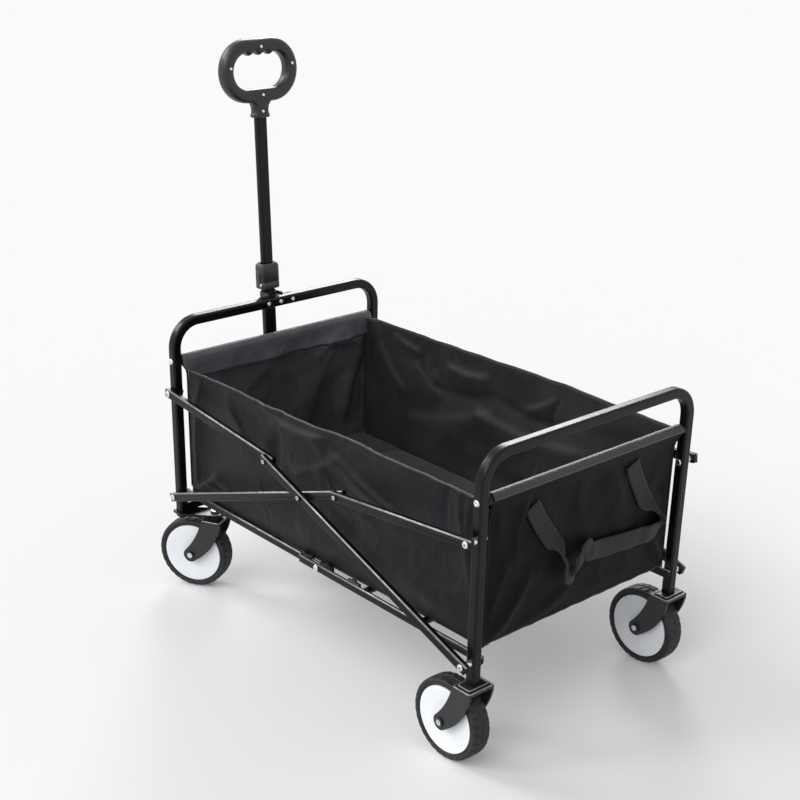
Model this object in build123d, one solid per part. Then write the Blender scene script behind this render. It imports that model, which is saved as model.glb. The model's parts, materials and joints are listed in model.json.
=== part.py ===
from build123d import *
from math import acos, atan2, cos, degrees, hypot, radians, sin, tan
import os

# Folding wagon: two hoop frames on four wheels, a scissor linkage on each side, a floor that folds
# upward in the middle, a cloth basket and a telescoping pull handle.
# X forward, Y to the left, Z up, millimetres. The two leg planes lie at equal distances from X = 0
# until the finished pieces are moved so that the box they fill is centred.

# ---- frames
leg_gap = 760.0            # between the front and the rear leg axes, opened out
folded_gap = 274.0         # the same, folded
track = 450.0              # between the left and the right leg axes
tube = 17.0                # square frame tube
tube_corner = 3.5
hoop_top_z = 504.0         # axis of the hoops' top bars
hoop_bend = 46.0           # bend radius on the tube's axis
cloth_bar_drop = 68.0      # from the top bars down to the round bars that carry the basket
cloth_bar_d = 16.0
lower_bar = 14.0           # front lower crossbar
lower_bar_gap = 0.5        # above the caster brackets
front_leg_past = 6.5       # front leg, below its bracket

# ---- side linkage
pivot_low_rise = 23.0      # lower pivots on the legs, above the front lower crossbar's axis
crossing_rise = 136.0      # from the lower pivots up to the crossing of the long links
short_arm = 96.0           # long link, from the crossing to its upper joint
link_wide = 15.0
link_thick = 8.0
link_past = 2.0            # link end beyond a half circle about its pivot
bar_corner = 2.0           # corners of the links' and rails' square ends
layer_gap = 1.2            # washer gap between leg, inner layer and outer layer
pin_d = 7.0
pin_play = 0.3             # between a pin and its hole
head_d = 11.0
head_thick = 2.4
head_seat = 0.3            # washers and heads stand off what they turn against

# ---- wheels and forks
hub_d = 109.0
tyre_deep = 12.5           # from the hub's rim to the tread
tyre_wide = 34.0
tyre_shoulder = 7.0
hub_wide = 31.0
hub_flat = 6.0             # flat rim of the disc, outside its shallow dish
hub_dish = 3.0             # depth of the dish
boss_d = 30.0
trail = 41.0               # wheel axle ahead of its leg or its swivel axis
axle_d = 8.0
axle_play = 0.3
axle_head = 2.6            # bolt head and nut, beyond the bolt's radius
axle_head_thick = 3.0
arm_thick = 4.0
arm_gap = 4.5              # between tyre and fork arm
arm_eye_d = 27.0
arm_front_turn = 36.0      # where the arm's front edge meets the eye, above the axle
arm_back_turn = 42.0       # where its back edge meets the eye, below the axle
arm_hollow = 5.0           # of the arm's front edge
arm_belly = 9.0            # of its back edge
arm_heel = 9.0             # straight back edge under the crown's top
crown_front = 17.0         # crown, ahead of the leg or swivel axis
crown_back = 19.0
crown_gap = 2.0            # between tyre and crown
rear_crown_tall = 7.5      # from its underside to the leg's foot
caster_crown_tall = 3.5
crown_step = 2.5           # raised seat on a rear crown, within its rim
crown_rim = 5.0
plate_thick = 4.0          # caster bracket
plate_rim = 4.0            # bracket round the leg
boss_rim = 9.0             # bracket round the kingpin nut
swivel_back = 43.5         # swivel axis behind the front leg axis
swivel_in = 42.0           # swivel axis inside the leg axis
caster_turn = 28.7         # both casters at rest, turned to the left
bearing_thick = 6.7
bearing_d = 24.0
bearing_play = 0.3
kingpin_d = 10.0
kingpin_head_d = 18.0
kingpin_head = 4.0

# ---- folding floor
rail_tall = 13.0
rail_thick = 4.5
rail_gap = 0.8
front_rail_past = 34.0     # rail end beyond the middle hinge
rear_rail_past = 46.0
floor_tube_d = 12.0
floor_tube_rise = 4.0      # cross tube axes above the rail axis
floor_thick = 7.0
floor_play = 0.3
floor_setback = 105.0      # floor board end, from the leg axis
middle_tube_reach = 120.0  # cross tubes, from the middle hinge
end_tube_reach = 130.0     # cross tubes, from the leg axis
board_gap = 1.0
board_edge = 1.0           # floor board inside the end walls' width

# ---- basket
side_gap = 1.4             # between a side wall and the floor rails outside it
side_thick = 2.5
side_end_gap = 0.3         # between the side walls and the end walls
end_thick = 3.0
end_inset = 3.0            # outer face of an end wall, inside the leg axis
end_side_gap = 0.3         # between an end wall and the side walls' inner faces
basket_rise = 4.7          # its lower edge, above the floor boards' underside
side_top_drop = 12.0       # side walls' upper edge, below the round bars' axis
sleeve_thick = 1.5
sleeve_play = 0.3
hem_end = 8.0              # from the end of the round bar to the end of its sleeve
lip = 86.0                 # cloth floor between an end wall and its floor board
strap_wide = 25.0
strap_thick = 1.8
strap_gap = 0.3            # between the strap and the rear wall
strap_top_drop = 12.0      # the strap's upper ends, below the rear bar
strap_low_drop = 155.0     # its low run, below the rear bar
strap_spread = 222.0       # between its upper ends
strap_foot = 160.0         # length of its low run
strap_bend = 24.0

# ---- pull handle, with heights along the pole above the handle's pivot
lower_pole_wide = 25.0     # across the wagon
lower_pole_deep = 15.0     # along the wagon
pole_wall = 1.2
pole_slip = 0.3            # between the lower and the upper pole
pole_corner = 5.0
pole_forward = 16.0        # handle pivot ahead of the front leg axis
pole_lean = 2.5            # degrees forward, at rest in the clip
handle_pivot_rise = 22.0   # above the front lower crossbar's axis
collar_gap = 5.4           # above the clip
collar_tall = 46.0
collar_wide = 40.0
collar_deep = 29.0
collar_corner = 9.0
collar_round = 3.0
pole_lap = 20.0            # lower pole inside the collar
button_tall = 21.0
button_wide = 14.0
button_rise = 2.5
upper_pole_foot = 265.0
upper_pole_top = 645.0
ear_thick = 3.0
ear_play = 0.6
ear_r = 9.0
clip_tall = 24.0
clip_plate = 3.0
clip_arm = 3.0
clip_play = 0.4
clip_left = 36.0
clip_right = 36.0

# ---- grip
grip_wide = 158.0
grip_tall = 106.0
grip_thick = 26.0
grip_bar = 23.0
grip_round = 8.0
neck_wide = 30.0
neck_deep = 20.0
neck_tall = 26.0
neck_corner = 6.0
ridge_r = 8.0
ridge_rise = 5.0           # finger ridges, below the top bar
ridge_step = 21.0

# ---- worked out from the above
half_gap = leg_gap / 2
half_track = track / 2
leg_in = half_track - tube / 2
leg_out = half_track + tube / 2
tyre_d = hub_d + 2 * tyre_deep
axle_z = tyre_d / 2
crown_bottom_z = tyre_d + crown_gap
rear_foot_z = crown_bottom_z + rear_crown_tall
caster_crown_z = crown_bottom_z + caster_crown_tall
plate_bottom_z = caster_crown_z + bearing_thick + bearing_play
plate_top_z = plate_bottom_z + plate_thick
front_foot_z = plate_bottom_z - front_leg_past
lower_bar_z = plate_top_z + lower_bar_gap + lower_bar / 2
pivot_low_z = lower_bar_z + pivot_low_rise
cloth_bar_z = hoop_top_z - cloth_bar_drop
link_angle = degrees(atan2(crossing_rise, half_gap))
long_arm = hypot(crossing_rise, half_gap)
folded_angle = degrees(acos(folded_gap / 2 / long_arm))
sine_sum = sin(radians(link_angle)) + sin(radians(folded_angle))
pivot_rise = 2 * long_arm * short_arm * sine_sum / (long_arm + short_arm)
pivot_high_z = pivot_low_z + pivot_rise
crossing_z = pivot_low_z + crossing_rise
joint_x = short_arm * cos(radians(link_angle))
joint_z = crossing_z + short_arm * sin(radians(link_angle))
inner_layer = leg_out + layer_gap
outer_layer = inner_layer + link_thick + layer_gap
pin_hole = pin_d + 2 * pin_play
rear_rail_y = leg_in - rail_gap - rail_thick
front_rail_y = rear_rail_y - rail_gap - rail_thick
arm_in = tyre_wide / 2 + arm_gap
arm_out = arm_in + arm_thick
swivel_x = half_gap - swivel_back
swivel_y = half_track - swivel_in
floor_bottom_z = pivot_low_z + floor_tube_rise + floor_tube_d / 2 + floor_play
basket_bottom_z = floor_bottom_z + basket_rise
side_top_z = cloth_bar_z - side_top_drop
pole_x = half_gap + pole_forward
handle_pivot_z = lower_bar_z + handle_pivot_rise
side_half = front_rail_y - side_gap - side_thick
end_half = side_half - end_side_gap
end_out = half_gap - end_inset
sleeve_r = cloth_bar_d / 2 + sleeve_play
upper_pole_wide = lower_pole_wide - 2 * (pole_wall + pole_slip)
upper_pole_deep = lower_pole_deep - 2 * (pole_wall + pole_slip)
upper_pole_corner = pole_corner - pole_wall - pole_slip
clip_rise = hoop_top_z + clip_tall / 2 - handle_pivot_z
clip_middle_x = pole_forward + (hoop_top_z - handle_pivot_z) * tan(radians(pole_lean))
collar_foot = (clip_rise + collar_gap) / cos(radians(pole_lean))
ring_foot = upper_pole_top + neck_tall
ring_middle = ring_foot + grip_tall / 2

parts = {}


def along_y(radius, y0, y1, x, z):
    """A round bar along Y."""
    lay = Plane(origin=(x, min(y0, y1), z), x_dir=(1, 0, 0), z_dir=(0, 1, 0))
    return extrude(lay * Circle(radius), abs(y1 - y0))


def slab(x0, x1, y0, y1, z0, z1):
    """A box between two corners."""
    return Pos((x0 + x1) / 2, (y0 + y1) / 2, (z0 + z1) / 2) * Box(abs(x1 - x0), abs(y1 - y0), abs(z1 - z0))


def post(radius, z0, z1):
    """A round bar along Z."""
    return Pos(0, 0, (z0 + z1) / 2) * Cylinder(radius, z1 - z0)


def mirrored(shape):
    return mirror(shape, about=Plane.XZ)


def flat_bar(start, end, y0, y1, wide, past_start, past_end, holes):
    """A flat bar in a plane of constant Y, square at both ends, with (point, diameter) holes."""
    run = Vector(end[0] - start[0], 0, end[1] - start[1])
    way = run.normalized()
    first = Vector(start[0], 0, start[1]) - way * past_start
    length = run.length + past_start + past_end
    mid = first + way * (length / 2)
    lay = Plane(origin=(mid.X, max(y0, y1), mid.Z), x_dir=(way.X, 0, way.Z), z_dir=(0, -1, 0))
    bar = extrude(lay * RectangleRounded(length, wide, bar_corner), abs(y1 - y0))
    for point, diameter in holes:
        bar -= along_y(diameter / 2, y0 - 1, y1 + 1, point[0], point[1])
    return bar


def rivet_head(x, z, y, side):
    """A domed rivet head that stands on the plane y, outward where side is 1."""
    head = along_y(head_d / 2, y, y + side * head_thick, x, z)
    rim = head.edges().filter_by(GeomType.CIRCLE).sort_by(Axis.Y)[-1 if side > 0 else 0]
    return fillet(rim, head_thick * 0.6)


# ---- hoops, crossbars and pivot pins

def hoop(x, foot_z):
    """A square tube bent into an upside-down U."""
    line = FilletPolyline(
        (x, -half_track, foot_z),
        (x, -half_track, hoop_top_z),
        (x, half_track, hoop_top_z),
        (x, half_track, foot_z),
        radius=hoop_bend,
    )
    section = Plane(origin=line @ 0, x_dir=(1, 0, 0), z_dir=line % 0)
    body = sweep(section * RectangleRounded(tube, tube, tube_corner), path=line)
    for side in (-1, 1):
        for z in (pivot_low_z, pivot_high_z):
            body -= along_y(pin_d / 2, side * (leg_in - 1), side * (leg_out + 1), x, z)
    return body


def pivot_pins(x, layer, low_inner):
    """Four pins through the legs, with washers, a head outside the links and one inside."""
    pins = []
    out = layer + link_thick + head_seat
    for z, inner in ((pivot_low_z, low_inner), (pivot_high_z, leg_in - head_seat)):
        pin = along_y(pin_d / 2, inner, out, x, z)
        pin += rivet_head(x, z, out, 1)
        if inner < leg_in:
            pin += rivet_head(x, z, inner, -1)
        pin += along_y(head_d / 2, leg_out, layer - head_seat, x, z)
        pins += [pin, mirrored(pin)]
    return Part() + pins


parts["front_hoop"] = hoop(half_gap, front_foot_z)
parts["rear_hoop"] = hoop(-half_gap, rear_foot_z)
parts["front_pivot_pins"] = pivot_pins(half_gap, inner_layer, front_rail_y - head_seat)
parts["rear_pivot_pins"] = pivot_pins(-half_gap, outer_layer, leg_in)
for name, x in (("front_upper_crossbar", half_gap), ("rear_upper_crossbar", -half_gap)):
    parts[name] = along_y(cloth_bar_d / 2, -leg_in, leg_in, x, cloth_bar_z)
bar_box = (lower_bar_z - lower_bar / 2, lower_bar_z + lower_bar / 2)
parts["front_lower_crossbar"] = slab(half_gap - lower_bar / 2, half_gap + lower_bar / 2, -leg_in, leg_in, *bar_box)


# ---- side linkage: on each side A and C start at the front leg, B and D at the rear leg

def links(side):
    """The four links of one side, by letter."""
    low_front = (half_gap, pivot_low_z)
    high_front = (half_gap, pivot_high_z)
    low_rear = (-half_gap, pivot_low_z)
    high_rear = (-half_gap, pivot_high_z)
    crossing = (0.0, crossing_z)
    front_joint = (joint_x, joint_z)
    rear_joint = (-joint_x, joint_z)
    end = link_wide / 2 + link_past
    inner = (inner_layer, inner_layer + link_thick)
    outer = (outer_layer, outer_layer + link_thick)
    head_y = outer[1]
    made = {}
    made["a"] = flat_bar(high_front, front_joint, *inner, link_wide, end, end, [(high_front, pin_hole)])
    made["c"] = flat_bar(low_front, rear_joint, *inner, link_wide, end, end, [(low_front, pin_hole)])
    holes = [(low_rear, pin_hole), (crossing, pin_hole)]
    made["b"] = flat_bar(low_rear, front_joint, *outer, link_wide, end, end, holes)
    made["d"] = flat_bar(high_rear, rear_joint, *outer, link_wide, end, end, [(high_rear, pin_hole)])
    made["a"] += rivet_head(*front_joint, inner[0], -1)
    made["b"] += rivet_head(*front_joint, head_y, 1)
    made["d"] += rivet_head(*rear_joint, head_y, 1)
    made["c"] += rivet_head(*rear_joint, inner[0], -1)
    shank = along_y(pin_d / 2, inner[1], head_y + head_seat, *crossing)
    shank += along_y(head_d / 2, inner[1], outer[0] - head_seat, *crossing)
    made["c"] += shank + rivet_head(*crossing, head_y + head_seat, 1)
    return made if side > 0 else {key: mirrored(bar) for key, bar in made.items()}


for word, side in (("left", 1), ("right", -1)):
    for letter, bar in links(side).items():
        parts[f"link_{letter}_{word}"] = bar


# ---- wheels, forks and casters, each drawn about its own leg or swivel axis at x = 0, y = 0

def tyre():
    ring = along_y(tyre_d / 2, -tyre_wide / 2, tyre_wide / 2, trail, axle_z)
    ring = fillet(ring.edges().filter_by(GeomType.CIRCLE), tyre_shoulder)
    return ring - along_y(hub_d / 2, -tyre_wide, tyre_wide, trail, axle_z)


def hub():
    """A smooth disc with a shallow conical dish in each face, down to a flat boss."""
    disc = along_y(hub_d / 2 - 0.05, -hub_wide / 2, hub_wide / 2, trail, axle_z)
    for side in (-1, 1):
        lay = Plane(origin=(trail, side * (hub_wide / 2 - hub_dish), axle_z), x_dir=(1, 0, 0), z_dir=(0, side, 0))
        dish = Cone(boss_d / 2, hub_d / 2 - hub_flat, hub_dish, align=(Align.CENTER, Align.CENTER, Align.MIN))
        disc -= lay * dish
    return disc - along_y(axle_d / 2 + axle_play, -hub_wide, hub_wide, trail, axle_z)


def fork_arm(crown_z):
    """One arm: a flat plate that sweeps forward and down from the crown to the axle."""
    eye_r = arm_eye_d / 2
    eye = Vector(trail, axle_z)
    turns = (arm_front_turn, (arm_front_turn - 180 - arm_back_turn) / 2, -180 + arm_back_turn)
    front, under, back = [eye + Vector(eye_r, 0).rotate(Axis.Z, turn) for turn in turns]
    top = Vector(crown_front, crown_z)
    heel = Vector(-crown_back, crown_z - arm_heel)
    outline = SagittaArc(top, front, -arm_hollow)
    outline += ThreePointArc(front, under, back)
    outline += SagittaArc(back, heel, arm_belly)
    outline += Polyline(heel, Vector(-crown_back, crown_z), top)
    side_view = Plane(origin=(0, 0, 0), x_dir=(1, 0, 0), z_dir=(0, -1, 0))
    return extrude(side_view * make_face(outline), arm_thick)


def fork(crown_z):
    """A crown and two arms."""
    body = slab(-crown_back, crown_front, -arm_out, arm_out, crown_bottom_z, crown_z)
    arm = fork_arm(crown_z)
    for y in (-arm_in, arm_out):
        body += Pos(0, y, 0) * arm
    return body - along_y(axle_d / 2, -2 * arm_out, 2 * arm_out, trail, axle_z)


def rear_fork():
    """A fork with a raised seat for the leg's foot within the rim of its crown."""
    top = rear_foot_z - crown_step
    inset = crown_rim
    seat = slab(inset - crown_back, crown_front - inset, inset - arm_out, arm_out - inset, top, rear_foot_z)
    return fork(top) + seat


def axle():
    """A bolt through both arms, with a head on each end."""
    bolt = along_y(axle_d / 2, -arm_out, arm_out, trail, axle_z)
    for side in (-1, 1):
        bolt += along_y(axle_d / 2 + axle_head, side * arm_out, side * (arm_out + axle_head_thick), trail, axle_z)
        bolt += along_y(axle_d / 2 + axle_head, side * (hub_wide / 2 + axle_play), side * arm_in, trail, axle_z)
    return bolt


def caster_fork():
    body = fork(caster_crown_z) + post(bearing_d / 2, caster_crown_z, caster_crown_z + bearing_thick)
    return body - post(kingpin_d / 2 + pin_play, crown_bottom_z - 1, plate_bottom_z)


def caster_bracket():
    """A plate round the foot of the front leg that reaches back and inward to the swivel axis."""
    foot = RectangleRounded(tube + 2 * plate_rim, tube + 2 * plate_rim, tube_corner)
    around = Pos(-swivel_back, -swivel_in) * Circle(kingpin_head_d / 2 + boss_rim)
    outline = make_hull([*foot.edges(), *around.edges()])
    plate = extrude(Pos(0, 0, plate_bottom_z) * outline, plate_thick)
    plate -= Pos(-swivel_back, -swivel_in) * post(kingpin_d / 2, plate_bottom_z - 1, plate_top_z + 1)
    plate -= slab(-tube / 2, tube / 2, -tube / 2, tube / 2, plate_bottom_z - 1, plate_top_z + 1)
    return Pos(half_gap, half_track, 0) * plate


def kingpin():
    """A bolt from the nut on the bracket to a head under the crown."""
    low = crown_bottom_z - bearing_play - kingpin_head
    bolt = post(kingpin_d / 2, low, plate_top_z) + post(kingpin_head_d / 2, low, low + kingpin_head)
    nut = extrude(Pos(0, 0, plate_top_z) * RegularPolygon(kingpin_head_d / 2 - 1, 6), kingpin_head)
    return Pos(swivel_x, swivel_y, 0) * (bolt + nut)


rear_places = {"left": Pos(-half_gap, half_track, 0), "right": Pos(-half_gap, -half_track, 0)}
caster_places = {
    "left": Pos(swivel_x, swivel_y, 0) * Rot(0, 0, caster_turn),
    "right": Pos(swivel_x, -swivel_y, 0) * Rot(0, 0, caster_turn),
}
for word, place in rear_places.items():
    parts[f"rear_fork_{word}"] = place * rear_fork()
    parts[f"rear_axle_{word}"] = place * axle()
    parts[f"rear_hub_{word}"] = place * hub()
    parts[f"rear_tyre_{word}"] = place * tyre()
for word, place in caster_places.items():
    parts[f"caster_fork_{word}"] = place * caster_fork()
    parts[f"caster_axle_{word}"] = place * axle()
    parts[f"front_hub_{word}"] = place * hub()
    parts[f"front_tyre_{word}"] = place * tyre()
parts["caster_bracket_left"] = caster_bracket()
parts["caster_bracket_right"] = mirrored(caster_bracket())
parts["caster_kingpins"] = kingpin() + mirrored(kingpin())


# ---- folding floor: two half ladders with a board each, hinged in the middle

def rail(end_x, past, y):
    """A floor rail from a leg pivot to the middle hinge and a little past it."""
    leg_end = (end_x, pivot_low_z)
    middle = (0.0, pivot_low_z)
    holes = [(middle, pin_hole)]
    if end_x > 0:
        holes.append((leg_end, pin_hole))
    return flat_bar(leg_end, middle, y, y + rail_thick, rail_tall, rail_tall / 2, past, holes)


def cross_tubes(side, reach_y):
    """Two tubes between the rails of one half."""
    z = pivot_low_z + floor_tube_rise
    spots = (side * middle_tube_reach, side * (half_gap - end_tube_reach))
    return Part() + [along_y(floor_tube_d / 2, -reach_y, reach_y, x, z) for x in spots]


def floor_board(side):
    """A stiff cloth-covered board on the cross tubes."""
    inner = side * board_gap / 2
    outer = side * (half_gap - floor_setback)
    reach = end_half - board_edge
    return slab(inner, outer, -reach, reach, floor_bottom_z, floor_bottom_z + floor_thick)


for word, side in (("left", 1), ("right", -1)):
    front = rail(half_gap, front_rail_past, front_rail_y)
    rear = rail(-half_gap, rear_rail_past, rear_rail_y)
    parts[f"front_floor_rail_{word}"] = front if side > 0 else mirrored(front)
    parts[f"rear_floor_rail_{word}"] = rear if side > 0 else mirrored(rear)
hinge = along_y(pin_d / 2, -leg_in, leg_in, 0, pivot_low_z)
for side in (-1, 1):
    hinge += rivet_head(0, pivot_low_z, side * leg_in, side)
parts["floor_hinge_rod"] = hinge
parts["front_floor_tubes"] = cross_tubes(1, front_rail_y)
parts["rear_floor_tubes"] = cross_tubes(-1, rear_rail_y)
parts["floor_board_front"] = floor_board(1)
parts["floor_board_rear"] = floor_board(-1)


# ---- basket: cloth walls, the end walls sewn round their crossbars

def end_wall(side):
    """An end wall with the sleeve round its crossbar and a strip of cloth floor at its foot."""
    x = side * half_gap
    sleeve = along_y(sleeve_r + sleeve_thick, hem_end - leg_in, leg_in - hem_end, x, cloth_bar_z)
    bore = along_y(sleeve_r, -leg_in, leg_in, x, cloth_bar_z)
    out = side * end_out
    inner = side * (end_out - end_thick)
    tip = side * (end_out - lip - end_thick)
    foot_top = basket_bottom_z + end_thick
    wall = slab(inner, out, -end_half, end_half, basket_bottom_z, cloth_bar_z)
    foot = slab(tip, out, -end_half, end_half, basket_bottom_z, foot_top)
    return wall + foot + sleeve - bore


def side_wall():
    reach = end_out - end_thick - side_end_gap
    return slab(-reach, reach, side_half, side_half + side_thick, basket_bottom_z, side_top_z)


def strap():
    """A webbing handle sewn flat on the rear wall: two slanting ends and a low run between them."""
    lay = Plane(origin=(-end_out - strap_gap, 0, 0), x_dir=(0, -1, 0), z_dir=(-1, 0, 0))
    top = cloth_bar_z - strap_top_drop
    low = cloth_bar_z - strap_low_drop
    corners = [(-strap_spread / 2, top), (-strap_foot / 2, low), (strap_foot / 2, low), (strap_spread / 2, top)]
    line = FilletPolyline(*corners, radius=strap_bend)
    return extrude(lay * trace(line, strap_wide), strap_thick)


parts["basket_front"] = end_wall(1)
parts["basket_rear"] = end_wall(-1)
parts["basket_side_left"] = side_wall()
parts["basket_side_right"] = mirrored(side_wall())
parts["rear_strap"] = strap()


# ---- pull handle: the poles, collar and grip are drawn upright about the handle's pivot, then leant

def pole(wide, deep, corner, z0, z1):
    section = RectangleRounded(deep, wide, corner)
    inner = RectangleRounded(deep - 2 * pole_wall, wide - 2 * pole_wall, corner - pole_wall)
    return extrude(Pos(0, 0, z0) * (section - inner), z1 - z0)


def lower_pole_shape():
    """The lower pole, with a round plug for its pivot."""
    plug = along_y(lower_pole_deep / 2, -lower_pole_wide / 2, lower_pole_wide / 2, 0, 0)
    body = pole(lower_pole_wide, lower_pole_deep, pole_corner, 0, collar_foot + pole_lap) + plug
    return body - along_y(pin_hole / 2, -lower_pole_wide, lower_pole_wide, 0, 0)


def collar():
    """The telescope's locking collar, with a thumb lever on its left side."""
    body = extrude(Pos(0, 0, collar_foot) * RectangleRounded(collar_deep, collar_wide, collar_corner), collar_tall)
    body = fillet(body.faces().sort_by(Axis.Z)[-1].edges(), collar_round)
    middle = collar_foot + collar_tall / 2
    lever = (collar_wide / 2 - 1, collar_wide / 2 + button_rise, middle - button_tall / 2, middle + button_tall / 2)
    button = slab(-button_wide / 2, button_wide / 2, *lever)
    body += fillet(button.edges().filter_by(Axis.Y), button_wide / 3)
    lower = RectangleRounded(lower_pole_deep, lower_pole_wide, pole_corner)
    hole = (upper_pole_deep + 2 * pole_slip, upper_pole_wide + 2 * pole_slip, upper_pole_corner + pole_slip)
    body -= extrude(Pos(0, 0, collar_foot) * lower, pole_lap)
    return body - extrude(Pos(0, 0, collar_foot) * RectangleRounded(*hole), collar_tall)


def grip():
    """A ring grip with finger ridges under its top bar, and a flared neck on the upper pole."""
    side_view = Plane(origin=(-grip_thick / 2, 0, ring_middle), x_dir=(0, 1, 0), z_dir=(1, 0, 0))
    ring = extrude(side_view * SlotOverall(grip_wide, grip_tall), grip_thick)
    ring -= extrude(side_view * SlotOverall(grip_wide - 2 * grip_bar, grip_tall - 2 * grip_bar), grip_thick)
    body = fillet(ring.faces().filter_by(Axis.X).edges(), grip_round)
    ridge_z = grip_tall / 2 - grip_bar + ridge_r - ridge_rise
    ridge_view = side_view.offset(grip_round)
    for y in (-ridge_step, 0.0, ridge_step):
        body += extrude(ridge_view * Pos(y, ridge_z) * Circle(ridge_r), grip_thick - 2 * grip_round)
    flare = grip_bar / 2
    neck = Pos(0, 0, upper_pole_top) * RectangleRounded(neck_deep, neck_wide, neck_corner)
    body += extrude(neck, neck_tall + flare)
    outline = [
        (-neck_wide / 2, -grip_tall / 2 - flare),
        (neck_wide / 2, -grip_tall / 2 - flare),
        (neck_wide / 2 + flare, flare / 2 - grip_tall / 2),
        (-neck_wide / 2 - flare, flare / 2 - grip_tall / 2),
    ]
    throat = side_view.offset((grip_thick - neck_deep) / 2 + neck_corner / 2)
    return body + extrude(throat * make_face(Polyline(*outline, close=True)), neck_deep - neck_corner)


def handle_bracket():
    """Two ears on the lower crossbar, joined by the handle's pivot pin."""
    inner = lower_pole_wide / 2 + ear_play
    root = Pos(half_gap + lower_bar / 2 + ear_r / 2, lower_bar_z) * Rectangle(ear_r, lower_bar)
    eye = Pos(pole_x, handle_pivot_z) * Circle(ear_r)
    side_view = Plane(origin=(0, 0, 0), x_dir=(1, 0, 0), z_dir=(0, -1, 0))
    ear = extrude(side_view * make_hull([*root.edges(), *eye.edges()]), ear_thick)
    ear -= along_y(pin_d / 2, -2 * ear_thick, ear_thick, pole_x, handle_pivot_z)
    pin_end = inner + ear_thick + head_seat
    pin = along_y(pin_d / 2, -pin_end, pin_end, pole_x, handle_pivot_z)
    for side in (-1, 1):
        pin += rivet_head(pole_x, handle_pivot_z, side * pin_end, side)
    return Pos(0, -inner, 0) * ear + Pos(0, inner + ear_thick, 0) * ear + pin


def handle_clip():
    """A plate on the hoop's top bar and a C of two arms and a web that the lower pole rests in."""
    back = half_gap + tube / 2
    z0 = hoop_top_z - clip_tall / 2
    z1 = hoop_top_z + clip_tall / 2
    lean_slack = clip_tall / 2 * tan(radians(pole_lean))
    web = half_gap + clip_middle_x - lower_pole_deep / 2 - lean_slack - clip_play
    front = half_gap + clip_middle_x + lower_pole_deep / 4
    body = slab(back, back + clip_plate, -clip_right, clip_left, hoop_top_z - tube / 2, hoop_top_z + tube / 2)
    inner = lower_pole_wide / 2 + clip_play
    for side in (-1, 1):
        body += slab(back, front, side * inner, side * (inner + clip_arm), z0, z1)
    return body + slab(web - clip_plate, web, -inner - clip_arm, inner + clip_arm, z0, z1)


leant = Pos(pole_x, 0, handle_pivot_z) * Rot(0, pole_lean, 0)
upper_section = (upper_pole_wide, upper_pole_deep, upper_pole_corner)
parts["handle_lower_pole"] = leant * lower_pole_shape()
parts["handle_collar"] = leant * collar()
parts["handle_upper_pole"] = leant * pole(*upper_section, upper_pole_foot, upper_pole_top)
parts["handle_grip"] = leant * grip()
parts["handle_bracket"] = handle_bracket()
parts["handle_clip"] = handle_clip()

# ---- centre the finished wagon over the origin and write one file a piece
boxes = [shape.bounding_box() for shape in parts.values()]
low = Vector(*(min(getattr(box.min, a) for box in boxes) for a in "XYZ"))
high = Vector(*(max(getattr(box.max, a) for box in boxes) for a in "XYZ"))
centre = Pos(-(low.X + high.X) / 2, -(low.Y + high.Y) / 2, -low.Z)
os.makedirs("parts", exist_ok=True)
for name, shape in parts.items():
    export_step(centre * shape, f"parts/{name}.step")
print("moved by", centre.position, "size", high - low)
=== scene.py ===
import json

import bpy
import bmesh
from math import atan2, cos, exp, hypot, pi, radians, sin
from mathutils import Matrix, Vector, noise
from mathutils.bvhtree import BVHTree

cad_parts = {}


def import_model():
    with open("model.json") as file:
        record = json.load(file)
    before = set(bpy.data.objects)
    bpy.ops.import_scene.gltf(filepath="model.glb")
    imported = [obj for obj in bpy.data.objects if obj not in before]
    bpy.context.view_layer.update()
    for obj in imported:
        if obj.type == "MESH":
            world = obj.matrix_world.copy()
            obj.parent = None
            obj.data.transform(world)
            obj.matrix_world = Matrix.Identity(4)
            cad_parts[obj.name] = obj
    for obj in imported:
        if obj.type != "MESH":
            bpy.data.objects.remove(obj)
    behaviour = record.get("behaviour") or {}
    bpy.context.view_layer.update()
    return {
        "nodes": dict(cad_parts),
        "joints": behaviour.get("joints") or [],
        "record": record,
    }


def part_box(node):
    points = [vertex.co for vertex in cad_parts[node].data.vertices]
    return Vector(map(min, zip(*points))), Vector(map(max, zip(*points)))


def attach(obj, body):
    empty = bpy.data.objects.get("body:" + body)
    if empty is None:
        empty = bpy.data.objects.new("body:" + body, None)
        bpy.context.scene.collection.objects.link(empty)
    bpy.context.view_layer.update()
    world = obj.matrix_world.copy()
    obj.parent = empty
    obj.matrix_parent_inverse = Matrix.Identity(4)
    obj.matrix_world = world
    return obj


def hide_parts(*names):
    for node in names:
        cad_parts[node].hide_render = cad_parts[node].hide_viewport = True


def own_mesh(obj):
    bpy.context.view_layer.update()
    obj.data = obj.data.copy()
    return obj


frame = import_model()

# Folding wagon: the frame's own nodes get their finishes, and the cloth basket, its strap and piping, the
# floor, the tyres and the small fasteners are modelled here. All lengths are written as millimetres * MM.

MM = 0.001
SIDES = (("left", 1), ("right", -1))
ENDS = (("front", 1), ("rear", -1))
WHEELS = [(end, word) for word in ("left", "right") for end in ("rear", "front")]
joints = {joint["name"]: joint for joint in frame["joints"]}


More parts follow.
